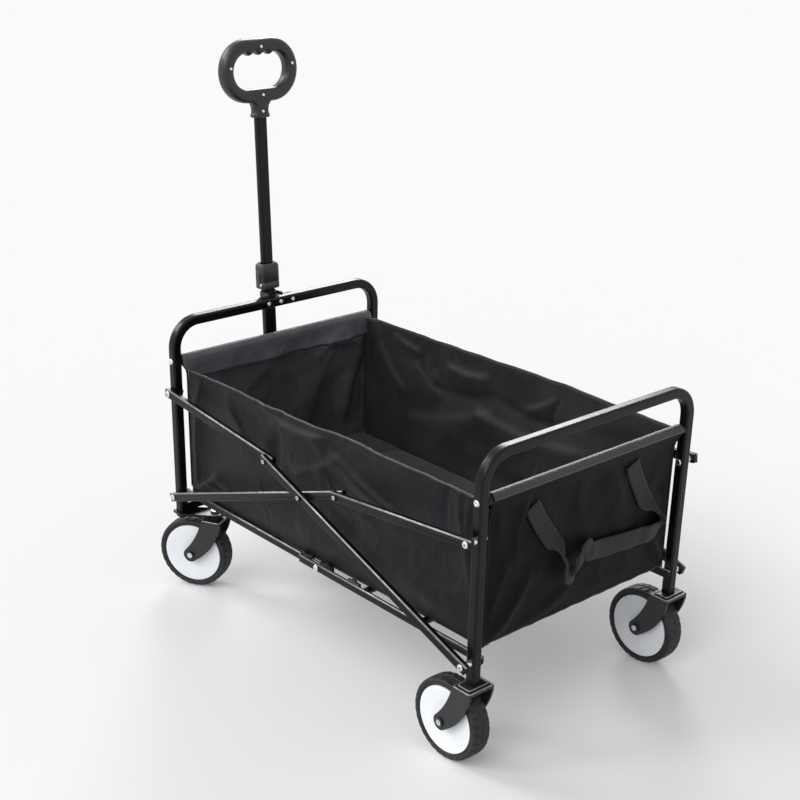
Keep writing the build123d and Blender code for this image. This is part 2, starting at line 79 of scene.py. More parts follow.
# ---- places taken from the frame
BARS = {end: sum(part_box(f"{end}_upper_crossbar"), Vector()) / 2 for end, _ in ENDS}
BAR_Z = BARS["front"].z
BAR_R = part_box("front_upper_crossbar")[1].z - BAR_Z
FRONT_X, REAR_X = BARS["front"].x, BARS["rear"].x
MID_X, HALF_GAP = (FRONT_X + REAR_X) / 2, (FRONT_X - REAR_X) / 2
HOOP_LOW, HOOP_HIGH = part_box("front_hoop")
TUBE = HOOP_HIGH.x - HOOP_LOW.x
HOOP_Z = HOOP_HIGH.z - TUBE / 2
LEG_OUT = HOOP_HIGH.y
LEG_Y, LEG_IN = LEG_OUT - TUBE / 2, LEG_OUT - TUBE
WALL_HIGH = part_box("basket_side_left")[1]
WALL_Y, WALL_END = WALL_HIGH.y, WALL_HIGH.x - MID_X
BOARD_LOW, BOARD_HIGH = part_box("floor_board_front")
RAIL_LOW, RAIL_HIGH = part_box("rear_floor_rail_left")
PIVOT_LOW_Z = joints["fold"]["pos_m"][2]
PIVOT_HIGH_Z = joints["rear_short_left"]["pos_m"][2]
CROSSING_Z = joints["cross_left"]["pos_m"][2]
TILT = Vector(joints["handle_tilt"]["pos_m"])
SLIDE = joints["handle_telescope"]["axis"]
LEAN = atan2(SLIDE[0], SLIDE[2])


# ---- materials

def add_node(tree, kind, output, inputs, **settings):
    """A shader node's output; each input is a constant or another node's output."""
    made = tree.nodes.new(f"ShaderNode{kind}")
    for name, value in settings.items():
        setattr(made, name, value)
    for socket, value in inputs.items():
        if isinstance(value, bpy.types.NodeSocket):
            tree.links.new(value, made.inputs[socket])
        else:
            made.inputs[socket].default_value = value
    return made.outputs[output]


def spread(tree, value, low, high, out_low, out_high):
    """The value's range low..high mapped to out_low..out_high."""
    return add_node(tree, "MapRange", "Result", {"Value": value, "From Min": low, "From Max": high,
                                                 "To Min": out_low, "To Max": out_high})


def math_node(tree, operation, *values):
    return add_node(tree, "Math", "Value", dict(enumerate(values)), operation=operation)


def seen_rays(tree):
    """1 for what the camera, reflections and clear pieces see, 0 for what lights the scene."""
    path = tree.nodes.new("ShaderNodeLightPath")
    seen = math_node(tree, "MAXIMUM", path.outputs["Is Camera Ray"], path.outputs["Is Glossy Ray"])
    return math_node(tree, "MAXIMUM", seen, path.outputs["Is Transmission Ray"])


class Look:
    """A Principled material whose colour, gloss and relief come from procedural nodes."""

    def __init__(self, name, colour, rough, metallic=0.0, specular=0.5, sheen=0.0):
        self.material = bpy.data.materials.new(name)
        self.material.use_nodes = True
        self.tree = self.material.node_tree
        self.shader = self.tree.nodes["Principled BSDF"]
        for socket, value in (("Base Color", (*colour, 1)), ("Roughness", rough), ("Metallic", metallic),
                              ("Specular IOR Level", specular), ("Sheen Weight", sheen), ("Sheen Roughness", 0.45)):
            self.shader.inputs[socket].default_value = value
        self.coords = self.tree.nodes.new("ShaderNodeTexCoord").outputs["Object"]

    def drive(self, socket, output):
        self.tree.links.new(output, self.shader.inputs[socket])

    def noise(self, scale, detail=4.0, rough=0.55, stretch=None):
        """A noise texture's value, with its space stretched by a factor for each axis."""
        coords = self.coords
        if stretch:
            coords = add_node(self.tree, "Mapping", "Vector", {"Vector": coords, "Scale": stretch})
        return add_node(self.tree, "TexNoise", "Fac",
                        {"Vector": coords, "Scale": scale, "Detail": detail, "Roughness": rough})

    def ridges(self, direction, period):
        """0 to 1 in bands that repeat every period along a direction."""
        wave_vector = [2 * pi / period * part for part in direction]
        dot = add_node(self.tree, "VectorMath", "Value", {0: self.coords, 1: wave_vector}, operation="DOT_PRODUCT")
        return spread(self.tree, math_node(self.tree, "SINE", dot), -1, 1, 0, 1)

    def vary_colour(self, value, low, high, colour_a, colour_b):
        """Goes from one colour to the other as the value goes from low to high."""
        factor = spread(self.tree, value, low, high, 0, 1)
        mixed = add_node(self.tree, "Mix", "Result", {"Factor": factor, "A": (*colour_a, 1), "B": (*colour_b, 1)},
                         data_type="RGBA")
        self.drive("Base Color", mixed)

    def vary_rough(self, value, low, high, rough_a, rough_b):
        self.drive("Roughness", spread(self.tree, value, low, high, rough_a, rough_b))

    def soft_edges(self, radius):
        """Shades hard edges as if they had a small radius."""
        self.drive("Normal", add_node(self.tree, "Bevel", "Normal", {"Radius": radius}, samples=6))

    def bump(self, height, strength, distance):
        inputs = {"Strength": strength, "Distance": distance, "Height": height}
        for earlier in self.shader.inputs["Normal"].links:
            inputs["Normal"] = earlier.from_socket
        self.drive("Normal", add_node(self.tree, "Bump", "Normal", inputs))


def paint(name, colour, rough):
    """Black powder coat: fine orange peel, faint dust and handling marks."""
    look = Look(name, colour, rough, specular=0.2)
    look.soft_edges(3 * MM)
    marks = look.noise(22, detail=3, rough=0.6)
    look.vary_rough(marks, 0.3, 0.75, rough - 0.03, rough + 0.07)
    look.vary_colour(marks, 0.45, 0.8, colour, [part * 1.6 + 0.001 for part in colour])
    look.bump(look.noise(260, detail=1), 0.012, 0.2 * MM)
    return look.material


def painted_highlight_edge():
    """A light grey, part metallic copy of the black paint for the upper rolled edges of the links and rails and the
    rims of the fork crowns: a painted highlight along the paint's edges.
    """
    look = Look("painted_highlight_edge", (0.2, 0.2, 0.2), 0.3, metallic=0.6, specular=1.0)
    # patchy brightness along the painted highlight
    highlight_patches = look.noise(60, detail=4, rough=0.6)
    look.vary_rough(highlight_patches, 0.3, 0.75, 0.27, 0.36)
    look.vary_colour(highlight_patches, 0.35, 0.65, (0.2, 0.2, 0.203), (0.36, 0.36, 0.368))
    return look.material


def moulded(name, colour, rough, grain=0.25):
    """Moulded plastic with a fine spark-eroded grain."""
    look = Look(name, colour, rough)
    look.soft_edges(1 * MM)
    broad = look.noise(38, detail=5)
    look.vary_rough(broad, 0.3, 0.7, rough - 0.06, rough + 0.08)
    look.vary_colour(broad, 0.4, 0.75, colour, [part * 1.35 for part in colour])
    look.bump(look.noise(1400, detail=3), grain, 0.25 * MM)
    return look.material


def polyester(name, dark, light, sheen, specular=0.12):
    """Woven polyester: a plain weave, soft mottling and fine handling creases."""
    look = Look(name, dark, 0.5, specular=specular, sheen=sheen)
    cloudy = look.noise(9, detail=5, rough=0.6)
    speckle = look.noise(1600, detail=1)
    tone = math_node(look.tree, "ADD", math_node(look.tree, "MULTIPLY", cloudy, 0.75),
                     math_node(look.tree, "MULTIPLY", speckle, 0.25))
    look.vary_colour(tone, 0.36, 0.66, dark, light)
    look.vary_rough(cloudy, 0.3, 0.7, 0.34, 0.52)
    thread = 1.1 * MM
    weave = look.ridges((1, 0, 0), thread)
    for direction in ((0, 1, 0), (0, 0, 1)):
        weave = math_node(look.tree, "ADD", weave, look.ridges(direction, thread))
    look.bump(look.noise(34, detail=6, rough=0.62, stretch=(1, 1, 0.6)), 0.45, 3.2 * MM)
    look.bump(weave, 0.25, 0.25 * MM)
    return look.material


def webbing():
    """Webbing with a bold diagonal weave."""
    look = Look("webbing", (0.02, 0.02, 0.02), 0.8, specular=0.25, sheen=0.12)
    cells = math_node(look.tree, "MULTIPLY", look.ridges((0, 0.75, 0.66), 3.4 * MM),
                      look.ridges((0, 0.66, -0.75), 2.6 * MM))
    fuzz = math_node(look.tree, "MULTIPLY", look.noise(700, detail=3), 0.5)
    height = math_node(look.tree, "ADD", cells, fuzz)
    look.vary_colour(height, 0.2, 1.1, (0.004, 0.004, 0.004), (0.055, 0.055, 0.053))
    look.bump(height, 0.7, 0.7 * MM)
    return look.material


def rubber():
    look = Look("rubber", (0.017, 0.017, 0.018), 0.62, specular=0.35)
    scuffs = look.noise(60, detail=8, rough=0.75)
    look.vary_colour(scuffs, 0.42, 0.75, (0.012, 0.012, 0.013), (0.04, 0.04, 0.042))
    look.vary_rough(scuffs, 0.3, 0.7, 0.5, 0.72)
    look.bump(look.noise(800, detail=4), 0.3, 0.3 * MM)
    return look.material


def white_plastic():
    look = Look("wheel_white", (0.91, 0.92, 0.935), 0.34, specular=0.45)
    cloudy = look.noise(26, detail=3)
    look.vary_colour(cloudy, 0.35, 0.7, (0.85, 0.885, 0.935), (0.9, 0.92, 0.95))
    look.vary_rough(cloudy, 0.3, 0.7, 0.32, 0.45)
    look.bump(look.noise(300, detail=2), 0.08, 0.3 * MM)
    return look.material


def zinc():
    look = Look("zinc", (0.72, 0.73, 0.74), 0.25, metallic=1.0)
    scuffs = look.noise(320, detail=5, rough=0.7)
    look.vary_rough(scuffs, 0.3, 0.7, 0.18, 0.36)
    look.vary_colour(scuffs, 0, 1, (0.55, 0.56, 0.58), (0.85, 0.86, 0.86))
    look.bump(scuffs, 0.1, 0.2 * MM)
    return look.material


MATERIALS = {
    "black_paint": paint("black_paint", (0.0035, 0.0035, 0.004), 0.25),
    "basket_cloth": polyester("basket_cloth", (0.008, 0.0075, 0.0096), (0.0145, 0.0136, 0.0172), 0.02),
    "floor_cloth": polyester("floor_cloth", (0.04, 0.039, 0.043), (0.062, 0.06, 0.066), 0.15),
    "webbing": webbing(),
    "tyre": rubber(),
    "wheel_disc": white_plastic(),
    "zinc": zinc(),
    "black_plastic": moulded("black_plastic", (0.0105, 0.0105, 0.011), 0.4),
    "grey_plastic": moulded("grey_plastic", (0.028, 0.028, 0.031), 0.46),
    "grip_plastic": moulded("grip_plastic", (0.0105, 0.0105, 0.0115), 0.36, grain=0.15),
}
THREAD = moulded("thread", (0.03, 0.03, 0.032), 0.7)
# painted highlight for the edges of the black paint
EDGE_PAINTED_HIGHLIGHT = painted_highlight_edge()
# Copies of the basket cloth that carry painted light and shade. The front panel's inner face: a coated lining, made
# much lighter than the cloth as painted light on a face that lies in the basket's shade.
FRONT_LINING_PAINTED_LIGHT = polyester("front_lining_painted_light", (0.05, 0.0485, 0.055), (0.095, 0.092, 0.105), 0.1)
# the front panel's inner flap: the lining made lighter still, as painted light falling on it from above
FLAP_PAINTED_LIGHT = polyester("flap_painted_light", (0.09, 0.087, 0.098), (0.165, 0.159, 0.181), 0.1)
# the rear panel's outer face: darker than the cloth, as painted shade
REAR_PAINTED_SHADE = polyester("rear_painted_shade", (0.005, 0.0047, 0.006), (0.0095, 0.009, 0.0112), 0.01, specular=0.06)
# the top of the rear panel's sleeve: lighter than the cloth, as a painted highlight
SLEEVE = polyester("sleeve", (0.016, 0.0155, 0.0177), (0.026, 0.0252, 0.0288), 0.08, specular=0.5)
# the side walls' inner faces: a coated lining, made lighter as painted light
SIDE_LINING_PAINTED_LIGHT = polyester("side_lining_painted_light", (0.0175, 0.0169, 0.0195), (0.034, 0.0328, 0.0375), 0.06)
# binding on hems and feet: lighter than the cloth, partly its own grey and partly a painted highlight along its edge
PIPING_AND_PAINTED_HIGHLIGHT = polyester("piping", (0.045, 0.045, 0.048), (0.085, 0.085, 0.09), 0.2)

for part in frame["record"]["subparts"]:
    node = frame["nodes"][part["node"]]
    node.data.materials.clear()
    node.data.materials.append(MATERIALS[part["material_slot"]])


# ---- mesh helpers

def add_piece(name, verts, faces, slot, body, material=None, stands_for=()):
    """A mesh piece that rides on a body and may stand for CAD nodes."""
    mesh = bpy.data.meshes.new(name)
    mesh.from_pydata([tuple(v) for v in verts], [], faces)
    mesh.validate()
    work = bmesh.new()
    work.from_mesh(mesh)
    bmesh.ops.recalc_face_normals(work, faces=work.faces)
    work.to_mesh(mesh)
    work.free()
    mesh.polygons.foreach_set("use_smooth", [True] * len(mesh.polygons))
    mesh.materials.append(material or MATERIALS[slot])
    piece = bpy.data.objects.new(name, mesh)
    bpy.context.collection.objects.link(piece)
    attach(piece, body)
    if stands_for:
        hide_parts(*stands_for)
    return piece


def lined(piece, lining, chosen):
    """Gives the chosen faces of a cloth another material: a lighter copy of the cloth as painted light, or a darker
    one as painted shade.
    """
    piece.data.materials.append(lining)
    for face in piece.data.polygons:
        if chosen(face):
            face.material_index = len(piece.data.materials) - 1


def joined(parts):
    """Several (verts, faces) as one."""
    verts, faces = [], []
    for more_verts, more_faces in parts:
        start = len(verts)
        verts += more_verts
        faces += [tuple(index + start for index in face) for face in more_faces]
    return verts, faces


def lattice(columns, rows, point, closed_u=False, closed_v=False):
    """Quads over a grid of point(column, row)."""
    verts = [point(i, j) for i in range(columns) for j in range(rows)]
    faces = []
    for i in range(columns if closed_u else columns - 1):
        for j in range(rows if closed_v else rows - 1):
            i2, j2 = (i + 1) % columns, (j + 1) % rows
            faces.append((i * rows + j, i2 * rows + j, i2 * rows + j2, i * rows + j2))
    return verts, faces


def capped(rings, sides, point):
    """A tube over a grid of point(ring, side), with both ends closed."""
    verts, faces = lattice(rings, sides, point, closed_v=True)
    return verts, faces + [tuple(range(sides - 1, -1, -1)), tuple(range((rings - 1) * sides, rings * sides))]


def shell(columns, rows, point, thickness):
    """A sheet with thickness: point(u, v) gives the middle surface, u and v from 0 to 1."""
    grid = [[point(i / (columns - 1), j / (rows - 1)) for j in range(rows)] for i in range(columns)]

    def moved(i, j, side=1):
        du = grid[min(i + 1, columns - 1)][j] - grid[max(i - 1, 0)][j]
        dv = grid[i][min(j + 1, rows - 1)] - grid[i][max(j - 1, 0)]
        return grid[i][j] + du.cross(dv).normalized() * side * thickness / 2

    verts, faces = lattice(columns, rows, moved)
    verts += [moved(i, j, -1) for i in range(columns) for j in range(rows)]
    count = columns * rows
    faces += [tuple(index + count for index in reversed(face)) for face in faces]
    rim = [i * rows for i in range(columns)] + [count - rows + j for j in range(1, rows)]
    rim += [i * rows - 1 for i in range(columns - 1, 0, -1)] + list(range(rows - 2, 0, -1))
    faces += [(there, here, here + count, there + count) for here, there in zip(rim, rim[1:] + rim[:1])]
    return verts, faces


def rod(points, radius, sides=8, closed=False):
    """A round rod along points, with its rings turned with the path."""
    count = len(points)
    rings = []
    across = None
    for i, here in enumerate(points):
        before = points[(i - 1) % count] if closed or i else here
        after = points[(i + 1) % count] if closed or i < count - 1 else here
        along = (after - before).normalized()
        if across is None:
            across = along.orthogonal().normalized()
        across = (across - along * across.dot(along)).normalized()
        other = along.cross(across)
        rings.append([here + (across * cos(a) + other * sin(a)) * radius
                      for a in (2 * pi * k / sides for k in range(sides))])
    if closed:
        return lattice(count, sides, lambda i, j: rings[i][j], closed_u=True, closed_v=True)
    return capped(count, sides, lambda i, j: rings[i][j])


def turned(profile, centre, axis, segments=24):
    """A solid of revolution: profile is (distance along the axis, radius) from axis to axis."""
    axis = Vector(axis).normalized()
    across = axis.orthogonal().normalized()
    other = axis.cross(across)

    def point(i, j):
        along, radius = profile[j]
        turn = 2 * pi * i / segments
        return centre + axis * along + (across * cos(turn) + other * sin(turn)) * radius

    return lattice(segments, len(profile), point, closed_u=True)


def in_mm(rows):
    return [tuple(size * MM for size in row) for row in rows]


def rounded(deep, wide, corner, steps):
    """(x, y) points round a rectangle of half sizes deep and wide, with round corners."""
    return [(x * (deep - corner) + corner * cos(turn), y * (wide - corner) + corner * sin(turn))
            for x, y, start in ((1, 1, 0), (-1, 1, 90), (-1, -1, 180), (1, -1, 270))
            for turn in (radians(start + 90 * k / steps) for k in range(steps + 1))]


def loft(sections, place):
    """A solid through rounded rectangles: (height, half depth, half width, corner radius)."""
    rings = [[place(x, y, height) for x, y in rounded(*outline, 5)] for height, *outline in sections]
    return capped(len(rings), len(rings[0]), lambda i, j: rings[i][j])


def block(centre, sections):
    """A loft that stands upright at a place."""
    return loft(sections, lambda *spot: centre + Vector(spot))


def smooth_path(points, steps):
    """A Catmull-Rom curve through points."""
    ends = [points[0] * 2 - points[1], *points, points[-1] * 2 - points[-2]]
    made = []
    for a, b, c, d in zip(ends, ends[1:], ends[2:], ends[3:]):
        for k in range(steps):
            t = k / steps
            made.append(0.5 * ((2 * b) + (c - a) * t + (2 * a - 5 * b + 4 * c - d) * t * t
                               + (3 * b - a - 3 * c + d) * t * t * t))
    return made + [points[-1]]


def ease(t):
    t = max(0.0, min(1.0, t))
    return t * t * (3 - 2 * t)


def curve(spots, x):
    """A smooth curve through (position, value) spots, level beyond the ends."""
    steps = zip(spots, spots[1:])
    return spots[0][1] + sum((y1 - y0) * ease((x - x0) / (x1 - x0)) for (x0, y0), (x1, y1) in steps)


def crease(x, z, ax, az, bx, bz, width, height):
    """A fold from a to b on a panel, steep on one side, that fades at its ends."""
    run = hypot(bx - ax, bz - az)
    ux, uz = (bx - ax) / run, (bz - az) / run
    along = ((x - ax) * ux + (z - az) * uz) / run
    across = (x - ax) * uz - (z - az) * ux + 0.045 * run * sin(pi * along)
    fade = ease(along * 4 + 0.5) * ease((1 - along) * 3 + 0.5) if -0.15 < along < 1.2 else 0.0
    reach = width * (1.3 if across < 0 else 0.5)
    return height * exp(-(across / reach) ** 2) * fade


def ripple(x, z, seed, size):
    """Smooth noise from -1 to 1."""
    return noise.noise(Vector((x / size, z / size, seed * 7.3)))


def crumple(x, z, seed, size):
    """A net of narrow ridges, 0 to 1, where crushed cloth keeps its creases."""
    bent_x = x + 0.45 * size * ripple(x, z, seed + 1, size)
    bent_z = z + 0.45 * size * ripple(x, z, seed + 2, size)
    ridge = max(0.0, 1 - 3.4 * abs(ripple(bent_x, bent_z, seed + 3, size)))
    patches = ease(0.5 + 1.7 * ripple(x, z, seed + 4, 2.2 * size))
    return ridge ** 1.6 * patches


# ---- cloth basket

CLOTH = 1.6 * MM
SLEEVE_R = BAR_R + 1.2 * MM
PANEL_X = WALL_END + 2.2 * MM  # middle of an end panel's cloth, from the wagon's middle
FLAP = 34 * MM  # inner flap of an end panel, below its bar
BOARD_END = BOARD_HIGH.x - MID_X
LIP = PANEL_X - BOARD_END - 2.5 * MM  # cloth floor at the foot of an end panel, up to its floor board
PANEL_FOOT = BOARD_LOW.z + 4 * MM
CORNER_R = 9 * MM
FALL = 26 * MM  # drop below its bar from which an end panel hangs straight


def end_profile(bar_x, side):
    """An end panel's middle line, from the flap's hem over the bar and down to the lip's edge."""
    face, corner_z = MID_X + side * PANEL_X, PANEL_FOOT + CORNER_R
    flap = [(bar_x - side * (SLEEVE_R + 1 * MM), BAR_Z - FLAP),
            (bar_x - side * (SLEEVE_R + 0.3 * MM), BAR_Z - FLAP / 2)]
    over = [(bar_x - side * SLEEVE_R * cos(pi * k / 8), BAR_Z + SLEEVE_R * sin(pi * k / 8)) for k in range(9)]
    wall = [(face + side * 1.5 * MM, BAR_Z - FALL)]
    wall += [(face, BAR_Z - FALL + (corner_z - BAR_Z + FALL) * share) for share in (0.2, 0.4, 0.6, 0.8)]
    corner = [(face - side * CORNER_R * (1 - cos(pi * k / 6)), corner_z - CORNER_R * sin(pi * k / 6))
              for k in range(4)]
    lip = [(face - side * (CORNER_R + (LIP - CORNER_R) * share), PANEL_FOOT) for share in (0.35, 0.7, 1.0)]
    return smooth_path([Vector((x, 0, z)) for x, z in flap + over + wall + corner + lip], 5)


def end_panel(end, side, sleeve_half, creases):
    """An end wall: a sleeve round its bar, an inner flap, a hanging panel and a strip of cloth floor."""
    bar_x = BARS[end].x
    line = end_profile(bar_x, side)
    face_half = WALL_Y + 0.4 * MM
    seam_z = BAR_Z - FLAP
    still, still_side = 30 * MM, 16 * MM  # how near its bar, foot and sides the cloth can't billow

    def point(u, v):
        spot = line[round(v * (len(line) - 1))]
        high = ease((spot.z - (BAR_Z - 22 * MM)) / (20 * MM))
        half = face_half + (sleeve_half - face_half) * high
        y = (2 * u - 1) * half
        hanging = ease((BAR_Z - spot.z) / still) * ease((spot.z - PANEL_FOOT) / still)
        hanging *= ease((half - abs(y)) / still_side)
        billow = 2.5 * cos(pi * (u - 0.5)) * hanging
        wide, tall = y / MM, spot.z / MM
        fold = sum(crease(wide, (spot.z - BAR_Z) / MM, *each) for each in creases)
        if side * (spot.x - bar_x) > -SLEEVE_R * 0.5 or spot.z < seam_z - 1 * MM:
            soft = 2.4 * ripple(wide, tall, 3 + side, 110) + 1.0 * ripple(wide, tall, 9 + side, 40)
            soft += 2.6 * crumple(wide, tall, 60 + 9 * side, 95) + 1.1 * crumple(wide, tall, 70 + 9 * side, 38)
            push, sag = billow + (1.4 * fold + soft) * hanging, 0.0
        else:
            droop = 4.2 * ripple(wide, 0, 5 + side, 70) + 2.2 * ripple(wide, 0, 8, 26) - 0.5
            crushed = 2.2 * crumple(wide, tall, 44 + side, 60) + 1.6 * ripple(wide, tall, 46, 34)
            push = 0.8 * billow + (fold - crushed) * hanging - ease((BAR_Z - spot.z) / FLAP) * droop
            sag = 7 * ripple(wide, 2, 12 + side, 80) * ease((BAR_Z - SLEEVE_R - spot.z) / FLAP)
        return Vector((spot.x + side * push * MM, y, spot.z + sag * MM))

    piece = add_piece(f"cloth_{end}", *shell(121, len(line), point, CLOTH), "basket_cloth", f"{end}_frame",
                      stands_for=[f"basket_{end}"])
    if side > 0:
        # painted light: lighter copies of the cloth on the front panel's inner face and on its flap
        lined(piece, FRONT_LINING_PAINTED_LIGHT, lambda face: face.normal.x < 0.1)
        lined(piece, FLAP_PAINTED_LIGHT, lambda face: face.normal.x < 0 and face.center.z > seam_z - 7 * MM)
    else:
        # painted shade on the rear panel's outer face, and a painted highlight along the top of its sleeve
        lined(piece, REAR_PAINTED_SHADE, lambda face: face.normal.x < 0)
        lined(piece, SLEEVE, lambda face: face.center.z > BAR_Z - 2 * MM)
    length = sum((b - a).length for a, b in zip(line, line[1:]))
    return piece


# Folds of each panel, in millimetres: start and end, each as the way along the panel and the drop below
# its bar, then width and height.
FRONT_CREASES = (
    (-200, -54, -100, -34, 9, -4), (-78, -54, -112, -34, 7, -3.6), (-196, -58, -150, -190, 16, -4.5),
    (-120, -50, -50, -200, 30, -5), (150, -50, 60, -210, 34, -4), (20, -46, 110, -120, 20, -3),
    (-209, -40, -207, -200, 7, 3),
)
REAR_CREASES = (
    (192, -232, 120, -140, 11, 5), (206, -190, 170, -110, 9, 3.4), (160, -238, 30, -196, 10, 3.4),
    (-196, -232, -130, -150, 12, 4.6), (-204, -206, -186, -90, 8, 3.2), (-60, -30, -130, -180, 26, 2.4),
    (130, -24, 150, -120, 10, 2.8), (-150, -238, -30, -214, 9, 2.6), (100, -24, 20, -140, 24, 2),
)
end_panel("front", 1, LEG_IN - 2 * MM, FRONT_CREASES)
rear_wall = end_panel("rear", -1, LEG_IN - 9 * MM, REAR_CREASES)

# Side walls, in millimetres: height of the top edge, height of the bottom edge and bow outward, each as
# (distance forward from the wagon's middle, value).
SIDE_EDGES = {
    "left": (
        ((-370, -11), (-190, -7.5), (-60, -8), (60, -11), (220, -13), (345, -17), (374, -20)),
        ((-370, 4), (-190, 1), (-60, -2), (60, -5), (200, -7), (374, -6)),
        ((-374, 0), (-190, 6.5), (-60, 5), (60, 7.5), (220, 6), (374, 0)),
    ),
    "right": (
        ((-374, 2), (-260, 0), (-130, 3), (12, 2), (200, -1), (340, 0), (374, -3)),
        ((-370, 3), (-190, 1), (0, -2), (200, -5), (374, -4)),
        ((-374, 0), (-260, 7), (-130, 9), (12, 8), (200, 7), (374, 0)),
    ),
}
SIDE_CREASES = {
    "left": (
        (118, -30, -20, -24, 14, 8.5), (90, -12, 114, -118, 13, -3.6), (66, -108, -50, -46, 13, 6),
        (-40, -44, -196, -96, 16, 6), (214, -92, 130, -84, 16, 2.6), (250, -30, 180, -110, 16, 2.4),
        (358, -242, 290, -194, 12, 9), (306, -198, 256, -216, 10, 5), (330, -30, 356, -222, 10, 2.6),
        (-50, -150, -310, -124, 22, -4.5), (-90, -196, -330, -176, 30, 4.5), (60, -206, -60, -150, 20, 3),
        (-318, -14, -332, -90, 8, 3), (-338, -26, -346, -160, 8, 3), (-296, -12, -290, -74, 9, -2.2),
        (20, -236, -80, -196, 12, 2.4),
    ),
    "right": (
        (332, -44, 258, -122, 20, -5.5), (352, -48, 340, -216, 11, 3.4), (290, -15, 220, -31, 8, -3.6),
        (196, -34, 174, -76, 7, -3.2), (150, -42, 44, -36, 17, -5), (232, -60, 168, -104, 16, -3),
        (170, -86, 36, -66, 14, 4.5), (264, -172, 40, -104, 24, -6), (60, -106, -190, -108, 22, -5.5),
        (30, -62, -150, -70, 13, 3.6), (-50, -66, -122, -26, 10, -3.4), (-128, -24, -112, -92, 8, 3),
        (-180, -66, -330, -34, 26, 3), (180, -190, -120, -200, 26, 3),
    ),
}

BULGE = 14 * MM  # the most that a side wall may stand out past the legs' inner faces
TUCK = 16 * MM  # folded in under the floor's edge
HANG = 0.93  # share of a side wall's rows that hang, the rest being tucked in


def side_panel(word, side):
    """A side wall, folded in at its foot under the floor's edge, with its hem and a line of stitches."""
    tops, feet, bows = SIDE_EDGES[word]
    columns = 241

    def point(u, v):
        along = (2 * u - 1) * (WALL_END + 0.5 * MM)
        x = along / MM
        top = BAR_Z + (curve(tops, x) + 1.4 * ripple(x, 0, 77 + side, 48)) * MM
        foot = BOARD_LOW.z + curve(feet, x) * MM
        z = top + (foot - top) * min(1.0, v / HANG)
        drop = (z - BAR_Z) / MM
        loose = ease((WALL_END - abs(along)) / (26 * MM)) * ease((z - foot) / (34 * MM))
        bow = curve(bows, x) * ((z - foot) / (top - foot)) ** 1.6
        fold = sum(crease(x, drop, *each) for each in SIDE_CREASES[word])
        soft = 3.0 * ripple(x, drop, 20 + side, 130) + 1.2 * ripple(x, drop, 30 + side, 46)
        soft += 1.8 * crumple(x, drop, 90 + 9 * side, 150) + 1.2 * crumple(x, drop, 100 + 9 * side, 44)
        y = WALL_Y - CLOTH / 2 + (bow + (1.3 * fold + soft) * loose) * MM
        y = min(y, LEG_IN + BULGE)
        if v > HANG:
            turn = (v - HANG) / (1 - HANG)
            y -= TUCK * turn
            z = foot - 0.8 * MM * sin(pi * turn)
        return Vector((MID_X + along, side * y, z))

    piece = add_piece(f"cloth_side_{word}", *shell(columns, 61, point, CLOTH), "basket_cloth", "front_frame",
                      stands_for=[f"basket_side_{word}"])
    # painted light: the inner face is a lightened copy of the cloth
    lined(piece, SIDE_LINING_PAINTED_LIGHT, lambda face: face.normal.y * side < 0)
    edge = [point(k / (columns - 1), 0) + Vector((0, 0, 0.6 * MM)) for k in range(columns)]
    # the hem's light grey is partly a painted highlight
    hem = add_piece(f"hem_{word}", *rod(edge, 1.6 * MM), "basket_cloth", "front_frame", material=PIPING_AND_PAINTED_HIGHLIGHT)
    seam_row, stitch = 0.042, 0.55
    above = Vector((0, side * (CLOTH / 2 + 0.1 * MM), 0))
    stitches = [rod([point((k + end) / (columns - 1), seam_row) + above for end in (0, stitch)], 0.35 * MM, sides=4)
                for k in range(2, columns - 2)]
    seam = add_piece(f"stitches_{word}", *joined(stitches), "basket_cloth", "front_frame", material=THREAD)
    return piece, hem, seam


# Each side wall, its hem and its stitches get meshes of their own.
for word, side in SIDES:
    for piece in side_panel(word, side):
        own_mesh(piece)


def piping(end, side):
    """Bound seams along an end panel's foot and where it meets the side walls."""
    points = [Vector((MID_X + side * (PANEL_X + 0.4 * MM), WALL_Y * (k / 30 - 1),
                      PANEL_FOOT + (3.5 + 1.6 * ripple(k * 12, 0, 33, 40)) * MM)) for k in range(61)]
    # the foot's binding: light grey, partly as a painted highlight
    add_piece(f"foot_piping_{end}", *rod(points, 1.2 * MM), "basket_cloth", f"{end}_frame", material=PIPING_AND_PAINTED_HIGHLIGHT)
    tall = BAR_Z - 16 * MM - PANEL_FOOT
    parts = [rod([Vector((MID_X + side * PANEL_X, y, PANEL_FOOT + tall * k / 20)) for k in range(21)], 1.8 * MM)
             for y in (-(WALL_Y - 0.6 * MM), WALL_Y - 0.6 * MM)]
    add_piece(f"piping_{end}", *joined(parts), "basket_cloth", f"{end}_frame")


# ---- floor: a stiff board in a sewn cover on each half, and a padded strip beyond it

def covered_board(end):
    """A cloth cover pulled round a board, with soft edges and small corners."""
    node = f"floor_board_{end}"
    low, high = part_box(node)
    centre, half = ((low + high) / 2).xy.to_3d(), (high - low) / 2
    rows = ((low.z + 0.1 * MM, 3), (low.z + 0.8 * MM, 1.2), (low.z + 2 * MM, 0.3), (high.z - 2 * MM, 0.3),
            (high.z - 0.8 * MM, 1.2), (high.z - 0.1 * MM, 3))
    sections = [(height, half.x - inset * MM, half.y - inset * MM, (5 - inset) * MM) for height, inset in rows]
    add_piece(f"cover_{node}", *block(centre, sections), "floor_cloth", f"floor_{end}", stands_for=[node])


